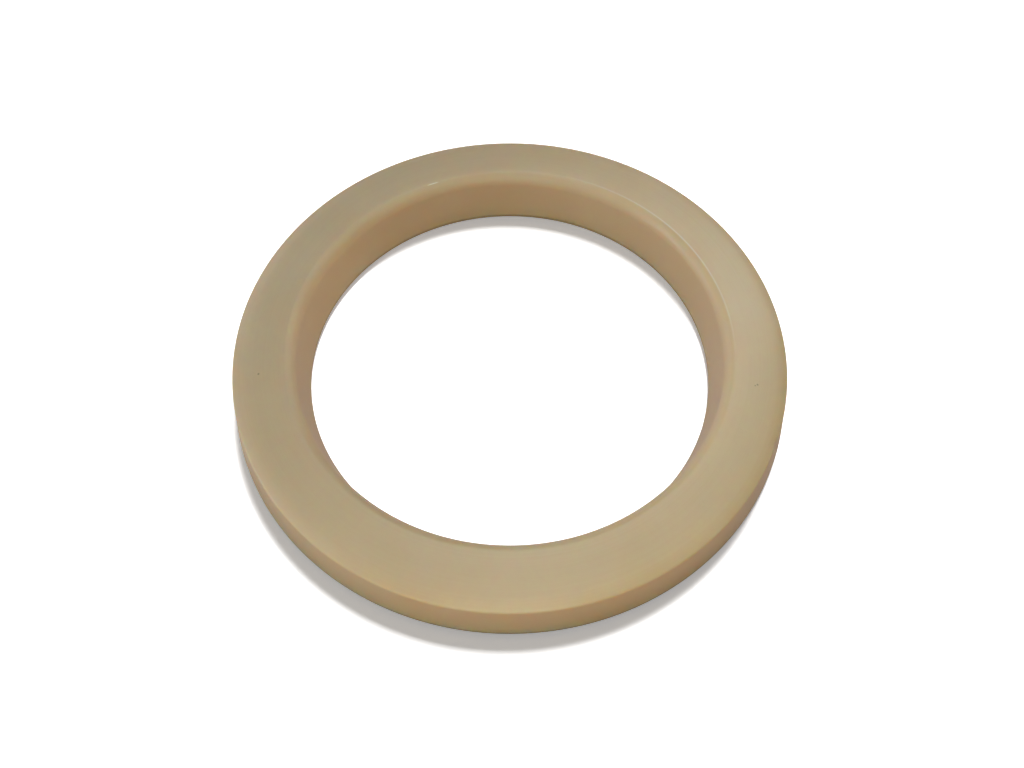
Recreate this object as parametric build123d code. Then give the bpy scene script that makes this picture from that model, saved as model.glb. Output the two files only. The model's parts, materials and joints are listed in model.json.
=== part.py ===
from build123d import *
import os
from math import cos, radians, sin, tan

# A one-piece U-cup rod seal for a hydraulic cylinder, moulded in polyurethane.
# It lies on its two lips with the heel up, and its axis is Z. The U is open
# downwards, towards the pressure, which spreads the lips: the inner one against
# the rod and the outer one against the wall of its groove.
# Origin: on the axis, in the plane of the lip tips. Units: millimetres.

# What the seal works between
rod_diameter = 76.2        # 3 inch rod
section_width = 12.7       # from the rod out to the wall of the 4 inch groove

# Heel: the solid back, a little smaller than the space that it fills. Its face falls
# away outwards from a crest on the rod side, and the crest is turned flat.
seal_height = 10.9
heel_rod_clearance = 0.95
heel_groove_clearance = 0.1
heel_fall_angle = 13       # to the flat crest
heel_skim = 0.12           # turned off the moulded crest, which leaves its edges crisp
inner_corner_radius = 2.6
outer_bevel_width = 1.9
outer_bevel_angle = 26     # to the flat crest
outer_bevel_radius = 8.0   # blends the bevel into the heel face
heel_side_height = 0.7     # straight side of the heel, below its corners

# Lips: each stands out past the heel and is squeezed when the seal is fitted
rod_lip_squeeze = 0.65
groove_lip_squeeze = 0.7
sealing_land = 0.5         # straight band of a lip that does the sealing
tip_bevel_height = 0.9     # from the lip tip up to the sealing land
tip_bevel_angle = 40       # to the axis

# Hollow of the U, in the middle of the section
hollow_depth = 6.2
hollow_flank_angle = 26    # to the axis
hollow_root_radius = 1.6
hollow_mouth_bevel = 0.8

# Radii that follow from these
rod_radius = rod_diameter / 2
groove_radius = rod_radius + section_width
heel_inner_radius = rod_radius + heel_rod_clearance
heel_outer_radius = groove_radius - heel_groove_clearance
rod_lip_radius = rod_radius - rod_lip_squeeze
groove_lip_radius = groove_radius + groove_lip_squeeze
tip_bevel_width = tip_bevel_height * tan(radians(tip_bevel_angle))
hollow_middle = (rod_radius + groove_radius) / 2

# Heights above the lip tips. The heel's inner corner is the point where its face and
# its inner side would meet if the rounding, whose top is the crest, weren't there.
land_top = tip_bevel_height + sealing_land
moulded_height = seal_height + heel_skim
fall = radians(heel_fall_angle)
corner_drop = inner_corner_radius * (1 + sin(fall)) / cos(fall)
rounding_foot = moulded_height - inner_corner_radius
inner_corner_height = rounding_foot + corner_drop
face_width = heel_outer_radius - outer_bevel_width - heel_inner_radius
outer_corner_height = inner_corner_height - face_width * tan(fall)
outer_bevel_height = outer_bevel_width * tan(radians(outer_bevel_angle))
shoulder_height = outer_corner_height - outer_bevel_height
inner_flare_top = rounding_foot - heel_side_height
outer_flare_top = shoulder_height - heel_side_height

# The hollow's flanks would meet at this height if its root weren't rounded
flank = radians(hollow_flank_angle)
hollow_apex = hollow_depth + hollow_root_radius * (1 / sin(flank) - 1)
hollow_half_mouth = hollow_apex * tan(flank)

# Corners of the section, each as (radius, height)
rod_tip = (rod_lip_radius + tip_bevel_width, 0)
rod_land_foot = (rod_lip_radius, tip_bevel_height)
rod_land_head = (rod_lip_radius, land_top)
inner_flare_head = (heel_inner_radius, inner_flare_top)
inner_corner = (heel_inner_radius, inner_corner_height)
outer_corner = (heel_outer_radius - outer_bevel_width, outer_corner_height)
shoulder = (heel_outer_radius, shoulder_height)
outer_flare_head = (heel_outer_radius, outer_flare_top)
groove_land_head = (groove_lip_radius, land_top)
groove_land_foot = (groove_lip_radius, tip_bevel_height)
groove_tip = (groove_lip_radius - tip_bevel_width, 0)
outer_mouth = (hollow_middle + hollow_half_mouth, 0)
hollow_root = (hollow_middle, hollow_apex)
inner_mouth = (hollow_middle - hollow_half_mouth, 0)

outline = [
    rod_tip, rod_land_foot, rod_land_head, inner_flare_head,
    inner_corner, outer_corner, shoulder, outer_flare_head,
    groove_land_head, groove_land_foot, groove_tip,
    outer_mouth, hollow_root, inner_mouth,
]


def corner_at(section, point):
    """The section's corner that lies nearest to a point."""
    return section.vertices().sort_by_distance(Vector(*point))[0]


def u_section():
    """Half of the seal's cross-section as it leaves the mould."""
    section = make_face(Polyline(*outline, close=True))
    for point, radius in [
        (inner_corner, inner_corner_radius),
        (outer_corner, outer_bevel_radius),
        (hollow_root, hollow_root_radius),
    ]:
        section = fillet(corner_at(section, point), radius)
    for point in (outer_mouth, inner_mouth):
        section = chamfer(corner_at(section, point), hollow_mouth_bevel)
    return section


def u_cup():
    """The moulded ring with its crest turned flat."""
    moulding = revolve(Plane.XZ * u_section(), Axis.Z)
    crest = Plane.XY.offset(seal_height)
    return split(moulding, bisect_by=crest, keep=Keep.BOTTOM)


os.makedirs("parts", exist_ok=True)
export_step(u_cup(), "parts/u_cup_seal.step")
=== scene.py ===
# %% [markdown]
# # A polyurethane U-cup seal
# The seal is one moulded ring, so almost all of its looks come from one cross-section
# and one material. We load the engineering model as a fixed frame, draw the section,
# spin it into a ring, and then spend our effort on the satin, milky plastic.

# %% Load the frame
import json
import math
import bpy
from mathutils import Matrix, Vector


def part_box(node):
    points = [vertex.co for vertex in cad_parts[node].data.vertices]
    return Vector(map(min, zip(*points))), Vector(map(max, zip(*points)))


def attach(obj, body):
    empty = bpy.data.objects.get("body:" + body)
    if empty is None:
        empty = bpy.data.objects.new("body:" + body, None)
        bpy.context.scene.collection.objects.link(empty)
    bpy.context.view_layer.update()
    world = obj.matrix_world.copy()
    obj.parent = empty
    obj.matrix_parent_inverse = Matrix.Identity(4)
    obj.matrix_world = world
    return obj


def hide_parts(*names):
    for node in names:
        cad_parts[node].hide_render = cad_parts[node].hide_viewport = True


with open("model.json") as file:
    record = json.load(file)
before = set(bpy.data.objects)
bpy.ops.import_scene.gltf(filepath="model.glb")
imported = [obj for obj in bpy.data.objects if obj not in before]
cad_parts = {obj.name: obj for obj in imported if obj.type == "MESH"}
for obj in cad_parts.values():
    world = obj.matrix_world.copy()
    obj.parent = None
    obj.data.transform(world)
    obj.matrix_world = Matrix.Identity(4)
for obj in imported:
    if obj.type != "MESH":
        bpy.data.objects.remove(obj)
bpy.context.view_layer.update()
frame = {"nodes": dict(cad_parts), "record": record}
MM = 0.001
print("nodes:", sorted(frame["nodes"]))

# %% [markdown]
# Sizes come first. The outside sizes are read from the frame, so the drawn ring can't
# drift from the engineering model. The mounts say where the two sealing bands are.

# %% Sizes from the frame
low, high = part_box("u_cup_seal")
mounts = {mount["name"]: mount for mount in frame["record"]["mounts"]}


def mount_radius(name):
    """A round mount's radius in metres."""
    return mounts[name]["dims"]["r_mm"] * MM


def mount_span(name):
    """The lowest and highest point of a round mount's wall, in metres."""
    middle = mounts[name]["pos_m"][2]
    half = mounts[name]["dims"]["length_mm"] * MM / 2
    return middle - half, middle + half


base_z, heel_z = low.z, high.z
rod_lip_r = mount_radius("rod_lip")
groove_lip_r = mount_radius("groove_lip")
land_foot_z, land_head_z = mount_span("rod_lip")
print("ring", round(groove_lip_r / MM, 2), "mm in radius and", round(heel_z / MM, 2), "mm high")

# %% [markdown]
# The other sizes of the section, in millimetres, are the engineering model's own. The
# heel is the thick back of the U. Its face falls away outwards like a very flat cone,
# and it was moulded a little tall and then skimmed on a lathe. The cut takes off the
# top of the crest and leaves a narrow flat there, with crisp edges.

# %% Sizes of the section
ROD_R = 38.1 * MM
SECTION = 12.7 * MM
heel_in_r = ROD_R + 0.95 * MM
heel_out_r = ROD_R + SECTION - 0.1 * MM
skim = 0.12 * MM
crest_edge_bevel = 0.10 * MM
fall = math.radians(13)
inner_round = 2.6 * MM
bevel_width, bevel_angle, bevel_round = 1.9 * MM, math.radians(26), 8.0 * MM
side = 0.7 * MM
tip_bevel = land_foot_z * math.tan(math.radians(40))
hollow_depth, root_round = 6.2 * MM, 1.6 * MM
flank = math.radians(26)
mouth_bevel = 0.8 * MM
shoulder_round, tip_round, land_round = 0.6 * MM, 0.25 * MM, 0.12 * MM

rounding_foot_z = heel_z + skim - inner_round
inner_corner_z = rounding_foot_z + inner_round * (1 + math.sin(fall)) / math.cos(fall)
outer_corner_z = inner_corner_z - (heel_out_r - bevel_width - heel_in_r) * math.tan(fall)
shoulder_z = outer_corner_z - bevel_width * math.tan(bevel_angle)
apex_z = hollow_depth + root_round * (1 / math.sin(flank) - 1)
half_mouth = apex_z * math.tan(flank)
hollow_r = ROD_R + SECTION / 2
print("shoulder", round(shoulder_z / MM, 2), "mm high, crest", round(heel_z / MM, 2))
print("hollow", round(2 * half_mouth / MM, 2), "mm wide at its mouth")

# %% [markdown]
# We draw the section as by hand: start from one point and extrude it from corner to
# corner. Each corner has a name, so that the roundings can be put on by name later.

# %% Corners of the section
corners = {
    "rod_tip": (rod_lip_r + tip_bevel, base_z),
    "rod_land_foot": (rod_lip_r, land_foot_z),
    "rod_land_head": (rod_lip_r, land_head_z),
    "inner_side": (heel_in_r, rounding_foot_z - side),
    "inner_corner": (heel_in_r, inner_corner_z),
    "outer_corner": (heel_out_r - bevel_width, outer_corner_z),
    "shoulder": (heel_out_r, shoulder_z),
    "outer_side": (heel_out_r, shoulder_z - side),
    "groove_land_head": (groove_lip_r, land_head_z),
    "groove_land_foot": (groove_lip_r, land_foot_z),
    "groove_tip": (groove_lip_r - tip_bevel, base_z),
    "outer_mouth": (hollow_r + half_mouth, base_z),
    "hollow_root": (hollow_r, apex_z),
    "inner_mouth": (hollow_r - half_mouth, base_z),
}
points = {name: Vector((r, 0, z)) for name, (r, z) in corners.items()}
print(len(points), "corners")

# %% Draw the outline
def deselect():
    """Nothing selected, so that an operator acts only on what we choose."""
    bpy.ops.object.select_all(action="DESELECT")


def draw_outline(name, places):
    """A closed outline, extruded from point to point and filled."""
    deselect()
    bpy.ops.mesh.primitive_plane_add(size=MM, location=places[0])
    drawn = bpy.context.object
    drawn.name = name
    bpy.ops.object.transform_apply(location=True)
    bpy.ops.object.mode_set(mode="EDIT")
    bpy.ops.mesh.merge(type="CENTER")
    for start, end in zip(places, places[1:]):
        bpy.ops.mesh.extrude_vertices_move(TRANSFORM_OT_translate={"value": end - start})
    bpy.ops.mesh.select_all(action="SELECT")
    bpy.ops.mesh.edge_face_add()
    bpy.ops.object.mode_set(mode="OBJECT")
    return drawn


seal = draw_outline("polyurethane_ring", list(points.values()))
print("outline has", len(seal.data.vertices), "points")

# %% [markdown]
# A round corner is a vertex bevel with several segments. Blender measures it along the
# two edges, so a radius becomes the length that its arc takes off each edge. Blender's
# plain profile of 0.5 is a true circle only in a right-angled corner. In a sharper or a
# blunter one the profile has to change, or the root of the hollow would end too high.

# %% Round the corners
def select_points(shape, wanted, reach=0.02 * MM):
    """Select the vertices within reach of any of these places, and nothing else."""
    bpy.ops.object.mode_set(mode="EDIT")
    bpy.ops.mesh.select_mode(type="VERT")
    bpy.ops.mesh.select_all(action="DESELECT")
    bpy.ops.object.mode_set(mode="OBJECT")
    for vertex in shape.data.vertices:
        vertex.select = any((vertex.co - place).length < reach for place in wanted)
    bpy.ops.object.mode_set(mode="EDIT")


def round_corner(shape, place, before, after, radius, segments):
    """Round one corner of the outline to a radius."""
    half_turn = (place - before).angle(after - place) / 2
    select_points(shape, [place])
    bpy.ops.mesh.bevel(offset=radius * math.tan(half_turn), offset_type="OFFSET",
                       segments=segments, affect="VERTICES",
                       profile=(1 - 0.5 / (1 + math.cos(half_turn))) ** 2)
    bpy.ops.object.mode_set(mode="OBJECT")


names = list(points)
ROUNDINGS = {
    "inner_corner": (inner_round, 12),
    "outer_corner": (bevel_round, 5),
    "shoulder": (shoulder_round, 5),
    "hollow_root": (root_round, 12),
    "outer_mouth": (mouth_bevel, 3),
    "inner_mouth": (mouth_bevel, 3),
    "rod_tip": (tip_round, 3),
    "groove_tip": (tip_round, 3),
    "rod_land_foot": (land_round, 2),
    "groove_land_foot": (land_round, 2),
}
for name, (radius, segments) in ROUNDINGS.items():
    at = names.index(name)
    neighbours = points[names[at - 1]], points[names[(at + 1) % len(names)]]
    round_corner(seal, points[name], *neighbours, radius, segments)
root_z = max(v.co.z for v in seal.data.vertices if abs(v.co.x - hollow_r) < 0.1 * MM
             and v.co.z < heel_z - MM)
print("hollow is", round(root_z / MM, 2), "mm deep, and", hollow_depth / MM, "was asked for")

# %% [markdown]
# Next comes the lathe cut across the crest. On the drawing that is a bisect that throws
# away what lies above the cut. The edges that it leaves are crisp but not razor sharp, so
# the inner one gets a bevel of a tenth of a millimetre.

# %% Skim the crest
bpy.ops.object.mode_set(mode="EDIT")
bpy.ops.mesh.select_all(action="SELECT")
bpy.ops.mesh.bisect(plane_co=(0, 0, heel_z), plane_no=(0, 0, 1), clear_outer=True,
                    threshold=0.001 * MM)
bpy.ops.object.mode_set(mode="OBJECT")
crest_edges = sorted((v.co.copy() for v in seal.data.vertices if v.co.z > heel_z - 0.001 * MM),
                     key=lambda place: place.x)
inner_edge_r, outer_edge_r = crest_edges[0].x, crest_edges[-1].x
print("flat of the crest runs from", round(inner_edge_r / MM, 2), "to",
      round(outer_edge_r / MM, 2), "mm")
select_points(seal, [crest_edges[0]])
bpy.ops.mesh.bevel(offset=crest_edge_bevel, offset_type="OFFSET", segments=2, affect="VERTICES")
bpy.ops.object.mode_set(mode="OBJECT")

# %% [markdown]
# The drawing becomes a ring by spinning it once round the axis. Only the outline is
# spun, so its filled face is deleted first. The last copy lands on the first, so the
# doubles are merged there, and only then are the normals turned outwards.

# %% Spin the ring
SPIN_STEPS = 384

bpy.ops.object.mode_set(mode="EDIT")
bpy.ops.mesh.select_mode(type="VERT")
bpy.ops.mesh.select_all(action="SELECT")
bpy.ops.mesh.delete(type="ONLY_FACE")
bpy.ops.mesh.select_all(action="SELECT")
bpy.ops.mesh.spin(steps=SPIN_STEPS, angle=math.tau, center=(0, 0, 0), axis=(0, 0, 1))
bpy.ops.mesh.select_all(action="SELECT")
bpy.ops.mesh.remove_doubles(threshold=0.002 * MM)
bpy.ops.mesh.normals_make_consistent(inside=False)
bpy.ops.object.mode_set(mode="OBJECT")
print("ring has", len(seal.data.polygons), "faces")

# %% [markdown]
# The rim has one knock, at the front right. The blow pushed the soft edge in and down, so
# we take the few points of the shoulder that it met and move them that way, in two
# passes of which the second is narrower and deeper. Places round the ring are given as an
# azimuth in degrees, where 0 is +X and 90 is +Y, at the back.

# %% Knock the rim
def level_direction(azimuth):
    """A level vector of length 1 that points to an azimuth."""
    return Vector((math.cos(math.radians(azimuth)), math.sin(math.radians(azimuth)), 0))


KNOCK_AZIMUTH = -23
KNOCK_INSET = 0.15 * MM
KNOCK_PASSES = [(1.1 * MM, 0.10 * MM), (0.7 * MM, 0.14 * MM)]
DOWN_FOR_EACH_IN = 0.6
outwards = level_direction(KNOCK_AZIMUTH)
edge = outwards * (heel_out_r - KNOCK_INSET) + Vector((0, 0, shoulder_z))
for reach, depth in KNOCK_PASSES:
    select_points(seal, [edge], reach)
    bpy.ops.transform.translate(
        value=outwards * -depth + Vector((0, 0, -DOWN_FOR_EACH_IN * depth)))
    bpy.ops.object.mode_set(mode="OBJECT")
deselect()
seal.select_set(True)
bpy.ops.object.shade_smooth_by_angle(angle=math.radians(28))
print("points knocked in:", sum(v.select for v in seal.data.vertices))

# %% [markdown]
# The seal is moulded from a thermoplastic or cast polyurethane. It is a hard rubber
# that isn't filled with carbon, so light goes a few millimetres into it and comes out
# warmer. That calls for subsurface scattering and not for a painted glow.

# %% Colours and nodes
def linear(hex_colour):
    """An sRGB hex colour as the linear RGBA that a shader wants."""
    channels = [int(hex_colour[i:i + 2], 16) / 255 for i in (1, 3, 5)]
    return [c / 12.92 if c <= 0.04045 else ((c + 0.055) / 1.055) ** 2.4 for c in channels] + [1]


def add_node(tree, kind, inputs=None, **settings):
    """Add one shader node, set its properties, and fill or link its inputs."""
    made = tree.nodes.new("ShaderNode" + kind)
    for name, value in settings.items():
        setattr(made, name, value)
    for key, value in (inputs or {}).items():
        if isinstance(value, bpy.types.NodeSocket):
            tree.links.new(value, made.inputs[key])
        else:
            made.inputs[key].default_value = value
    return made


def new_material(name):
    """An empty node material and its tree."""
    material = bpy.data.materials.new(name)
    material.use_nodes = True
    material.node_tree.nodes.clear()
    return material, material.node_tree


# %% Where a point is on the ring
polyurethane, tree = new_material("moulded_polyurethane")
where = add_node(tree, "TexCoord").outputs["Object"]
axes = add_node(tree, "SeparateXYZ", {"Vector": where}).outputs
height = axes["Z"]
level = add_node(tree, "CombineXYZ", {"X": axes["X"], "Y": axes["Y"]}).outputs[0]
radius = add_node(tree, "VectorMath", {0: level}, operation="LENGTH").outputs["Value"]


def band(value, middle, reach, strength=1.0):
    """A mask with its strength where a value equals middle, soft down to 0 at reach."""
    past = add_node(tree, "Math", {0: value, 1: middle}, operation="SUBTRACT").outputs[0]
    off = add_node(tree, "Math", {0: past}, operation="ABSOLUTE").outputs[0]
    return add_node(tree, "MapRange", {"Value": off, "From Min": 0.0, "From Max": reach,
                    "To Min": strength, "To Max": 0.0}, interpolation_type="SMOOTHSTEP").outputs[0]


def side_facing(azimuth, start, strength=1.0):
    """A mask that grows as a point comes round to an azimuth; it is 0 where the cosine is start."""
    towards = add_node(tree, "VectorMath", {0: where, 1: level_direction(azimuth)},
                       operation="DOT_PRODUCT").outputs["Value"]
    cosine = add_node(tree, "Math", {0: towards, 1: radius}, operation="DIVIDE").outputs[0]
    return add_node(tree, "MapRange", {"Value": cosine, "From Min": start, "From Max": 1.0,
                    "To Max": strength}).outputs[0]


def distance_to(azimuth, mark_r):
    """How far a point is from a mark that lies on the heel's face."""
    mark_z = inner_corner_z - (mark_r - heel_in_r) * math.tan(fall)
    mark = level_direction(azimuth) * mark_r + Vector((0, 0, mark_z))
    return add_node(tree, "VectorMath", {0: where, 1: mark}, operation="DISTANCE").outputs["Value"]


def overlap(*masks):
    """The mask that is on only where all of these are."""
    shared = masks[0]
    for mask in masks[1:]:
        shared = add_node(tree, "Math", {0: shared, 1: mask}, operation="MULTIPLY").outputs[0]
    return shared


print("nodes so far:", len(tree.nodes))

# %% [markdown]
# The heel was turned on a lathe, whose tool leaves rings. A noise that changes fast
# across the face and slowly round it looks like them. They fade out down the shoulder,
# which the tool didn't reach.

# %% Lathe rings
RING_PITCH = 0.28 * MM
CHANGE_ROUND_THE_FACE = 60 * MM
across = add_node(tree, "CombineXYZ", {"X": axes["X"], "Y": axes["Y"], "Z": radius}).outputs[0]
ring_scale = (CHANGE_ROUND_THE_FACE, CHANGE_ROUND_THE_FACE, RING_PITCH)
stretched = add_node(tree, "VectorMath", {0: across, 1: ring_scale}, operation="DIVIDE").outputs[0]
ring_noise = add_node(tree, "TexNoise", {"Vector": stretched, "Scale": 1.0, "Detail": 3.0})
turned = add_node(tree, "MapRange", {"Value": height, "From Min": shoulder_z,
                  "From Max": outer_corner_z}).outputs[0]
rings = overlap(ring_noise.outputs["Fac"], turned)
print("rings are about", round(RING_PITCH / MM, 2), "mm apart")

# %% [markdown]
# The colour is laid on in thin steps: the milky amber of the melt, slightly uneven,
# then the rings, a painted highlight along the sharp inner edge of the crest on the
# back right, a short painted glint on the crest, a band of painted shade low on the
# lips where they meet the floor, and a few specks.

# %% Colour of the polyurethane
SPECKS = [(188.0, 45.6 * MM, 0.32 * MM), (-11.5, 45.1 * MM, 0.30 * MM), (-11.9, 44.7 * MM, 0.22 * MM)]
GLINT_AZIMUTH, GLINT_R, GLINT_REACH = 112, 40.62 * MM, 0.13 * MM
BLOTCH = 13 * MM
blotches = add_node(tree, "TexNoise", {"Vector": where, "Scale": 1 / BLOTCH, "Detail": 3.0})
# Painted highlight: the crisp inner edge of the crest is made paler, only on the side towards azimuth
# 36
painted_edge_highlight = overlap(band(radius, inner_edge_r, 0.22 * MM), band(height, heel_z, 0.15 * MM),
                 side_facing(36, 0.75, 0.35))
on_the_heel = add_node(tree, "Math", {0: height, 1: 10 * MM}, operation="GREATER_THAN").outputs[0]
# Painted glint: a short pale streak across the heel at one azimuth, standing in for a highlight
painted_glint = overlap(band(radius, GLINT_R, GLINT_REACH),
                  band(side_facing(GLINT_AZIMUTH, -1.0), 1.0, 0.0003), on_the_heel)
# Painted shade: the lips are darker at the height of their lands, just above the floor that they
# stand on
painted_lip_shade = band(height, (land_foot_z + land_head_z) / 2, 0.55 * MM, 0.55)
layers = [(blotches.outputs["Fac"], "#DFC196"), (overlap(rings, 0.16), "#F2E2C2"),
          (painted_edge_highlight, "#FFFBF2"), (painted_glint, "#FFF4E0"), (painted_lip_shade, "#8F6A38")]
for azimuth, speck_r, size in SPECKS:
    layers.append((band(distance_to(azimuth, speck_r), 0.0, size, 0.6), "#5B4326"))
amber = linear("#D7B583")
for mask, colour in layers:
    amber = add_node(tree, "Mix", {"Factor": mask, 6: amber, 7: linear(colour)},
                     data_type="RGBA").outputs["Result"]
print(len(layers), "steps of colour")

# %% Skin of the polyurethane
# Polyurethane, taken to be about 95 Shore A, moulded and then turned. The mould gives the eye
# a satin skin with broad, soft highlights over a milky amber that is never quite even.
GRAIN = 0.5 * MM
DENTS = [(-24.5, 44.1 * MM), (-24.5, 45.0 * MM), (-34.5, 45.7 * MM)]
grain = add_node(tree, "TexNoise", {"Vector": where, "Scale": 1 / GRAIN})
bumps = add_node(tree, "Math", {0: grain.outputs["Fac"], 1: overlap(rings, 0.8)},
                 operation="ADD").outputs[0]
for azimuth, dent_r in DENTS:
    dent = band(distance_to(azimuth, dent_r), 0.35 * MM, 0.25 * MM, 5.0)
    bumps = add_node(tree, "Math", {0: bumps, 1: dent}, operation="SUBTRACT").outputs[0]
satin = add_node(tree, "Bump", {"Strength": 0.35, "Distance": 0.01 * MM,
                 "Height": bumps}).outputs["Normal"]
surface = add_node(tree, "BsdfPrincipled", {
    "Base Color": amber, "Roughness": 0.48, "IOR": 1.5, "Specular IOR Level": 0.8,
    "Normal": satin, "Subsurface Weight": 1.0, "Subsurface Radius": (5.0, 2.6, 1.0),
    "Subsurface Scale": MM})
add_node(tree, "OutputMaterial", {"Surface": surface.outputs["BSDF"]})
seal.data.materials.append(polyurethane)
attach(seal, "root")
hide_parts("u_cup_seal")
print("material nodes:", len(tree.nodes))

# %% [markdown]
# The floor is a plain sheet just under the lips. To the camera it is white. To the seal
# it is a warm bench, which throws a little amber light up on to the walls. From below a
# camera looks through it, so that the hollow of the U can be seen too.

# %% Floor
FLOOR_DROP = 0.03 * MM
FLOOR_IN_GLOSS = 0.3
PAPER_GLOW = 0.34
deselect()
bpy.ops.mesh.primitive_plane_add(size=3.0, location=(0, 0, base_z - FLOOR_DROP))
floor = bpy.context.object
floor.name = "floor"
paper, tree = new_material("white_paper")
path = add_node(tree, "LightPath").outputs
faint = add_node(tree, "Math", {0: path["Is Glossy Ray"], 1: FLOOR_IN_GLOSS}, operation="MULTIPLY")
mirrored = add_node(tree, "Math", {0: faint.outputs[0], 1: path["Is Transmission Ray"]},
                    operation="MAXIMUM").outputs[0]
seen = add_node(tree, "Math", {0: path["Is Camera Ray"], 1: mirrored}, operation="MAXIMUM").outputs[0]
sheet_colour = add_node(tree, "Mix", {"Factor": seen, 6: linear("#7D5A48"), 7: (1, 1, 1, 1)},
                        data_type="RGBA").outputs["Result"]
sheet = add_node(tree, "BsdfDiffuse", {"Color": sheet_colour}).outputs[0]
glow_level = add_node(tree, "Math", {0: seen, 1: PAPER_GLOW}, operation="MULTIPLY").outputs[0]
glow = add_node(tree, "Emission", {"Strength": glow_level}).outputs[0]
back = add_node(tree, "NewGeometry").outputs["Backfacing"]
below = add_node(tree, "Math", {0: path["Is Camera Ray"], 1: back}, operation="MULTIPLY").outputs[0]
lit = add_node(tree, "AddShader", {0: sheet, 1: glow}).outputs[0]
clear = add_node(tree, "BsdfTransparent").outputs[0]
shown = add_node(tree, "MixShader", {0: below, 1: lit, 2: clear}).outputs[0]
add_node(tree, "OutputMaterial", {"Surface": shown})
floor.data.materials.append(paper)
print("floor is", round(floor.dimensions.x, 2), "m across")

# %% [markdown]
# One lamp behind the seal throws the soft shadow in front of it. The lamps that model
# the seal are linked to it alone, so that the floor keeps that one clean shadow. Daylight
# comes in low from the left, and small lamps stand near it in front and on the right, so
# the far left side stays the darkest and the warmest.

# %% Lights
def from_angles(azimuth, elevation, distance):
    """A place at a distance from the seal, at an azimuth and an elevation in degrees."""
    e = math.radians(elevation)
    return (level_direction(azimuth) * math.cos(e) + Vector((0, 0, math.sin(e)))) * distance


def add_lamp(name, azimuth, elevation, size, level, colour="#FFFFFF", distance=0.7):
    """A square lamp that faces the seal and lights a white sheet there to a level."""
    place = from_angles(azimuth, elevation, distance)
    deselect()
    bpy.ops.object.light_add(type="AREA", location=place)
    lamp = bpy.context.object
    lamp.name = name
    lamp.rotation_euler = (-place).to_track_quat("-Z", "Y").to_euler()
    lamp.data.size = size
    lamp.data.energy = level * math.pi ** 2 * distance ** 2
    lamp.data.color = linear(colour)[:3]
    lamp.visible_camera = False
    return lamp


def light_only(lamp, shape):
    """Link a lamp to one object, so that it lights nothing else."""
    group = bpy.data.collections.new(lamp.name + "_lights")
    group.objects.link(shape)
    lamp.light_linking.receiver_collection = group


light_only(add_lamp("shadow_lamp", 77, 64, 0.74, 1.4, distance=4.0), floor)
LAMPS = {
    "front_lamp": (270, 35, 0.10, 0.295, "#F7FFF0", 0.2),
    "right_lamp": (45, 35, 0.10, 0.223, "#FCFFFA", 0.2),
    "low_window": (180, 12, 0.30, 0.24, "#D9EEFF", 0.7),
    "left_window": (200, 25, 0.30, 0.180, "#DAF0FF", 0.7),
    "ceiling": (0, 90, 0.35, 0.155, "#BCD9FF", 0.7),
    "side_lamp": (335, 50, 0.10, 0.119, "#F7FFD9", 0.2),
    "back_window": (135, 12, 0.30, 0.10, "#FFF7F0", 0.7),
    "sheen_lamp": (75, 62, 0.20, 0.11, "#8CC4FF", 0.7),
}
for name, placing in LAMPS.items():
    light_only(add_lamp(name, *placing), seal)
# Glossy rays meet the dim room and not the white, which would grey the satin skin
ROOM_LEVEL = 0.05
world = bpy.data.worlds.new("room")
bpy.context.scene.world = world
world.use_nodes = True
tree = world.node_tree
tree.nodes.clear()
path = add_node(tree, "LightPath").outputs
seen = add_node(tree, "Math", {0: path["Is Camera Ray"], 1: path["Is Transmission Ray"]},
                operation="MAXIMUM").outputs[0]
room = add_node(tree, "Background", {"Color": (1, 1, 1, 1), "Strength": ROOM_LEVEL}).outputs[0]
white = add_node(tree, "Background", {"Color": (1, 1, 1, 1), "Strength": 1.0}).outputs[0]
both = add_node(tree, "MixShader", {0: seen, 1: room, 2: white}).outputs[0]
add_node(tree, "OutputWorld", {"Surface": both})

# %% [markdown]
# The camera stands well above the seal and looks down at it, so that the top, the far
# inner wall and the near outer wall all show.

# %% Camera
CAMERA_DISTANCE = 215.0 * MM
CAMERA_ELEVATION = 58.37
CAMERA_LENS_MM = 39.72
AIM = Vector((0.40, -2.48, 0)) * MM
place = from_angles(-90, CAMERA_ELEVATION, CAMERA_DISTANCE)
bpy.ops.object.camera_add(location=place)
camera = bpy.context.object
camera.name = "camera"
camera.rotation_euler = (AIM - place).to_track_quat("-Z", "Y").to_euler()
camera.data.lens = CAMERA_LENS_MM
camera.data.sensor_width = 36
camera.data.clip_start, camera.data.clip_end = 1 * MM, 20
bpy.context.scene.camera = camera
bpy.context.scene.view_settings.view_transform = "Standard"
print("camera is", round(place.length, 3), "m away")
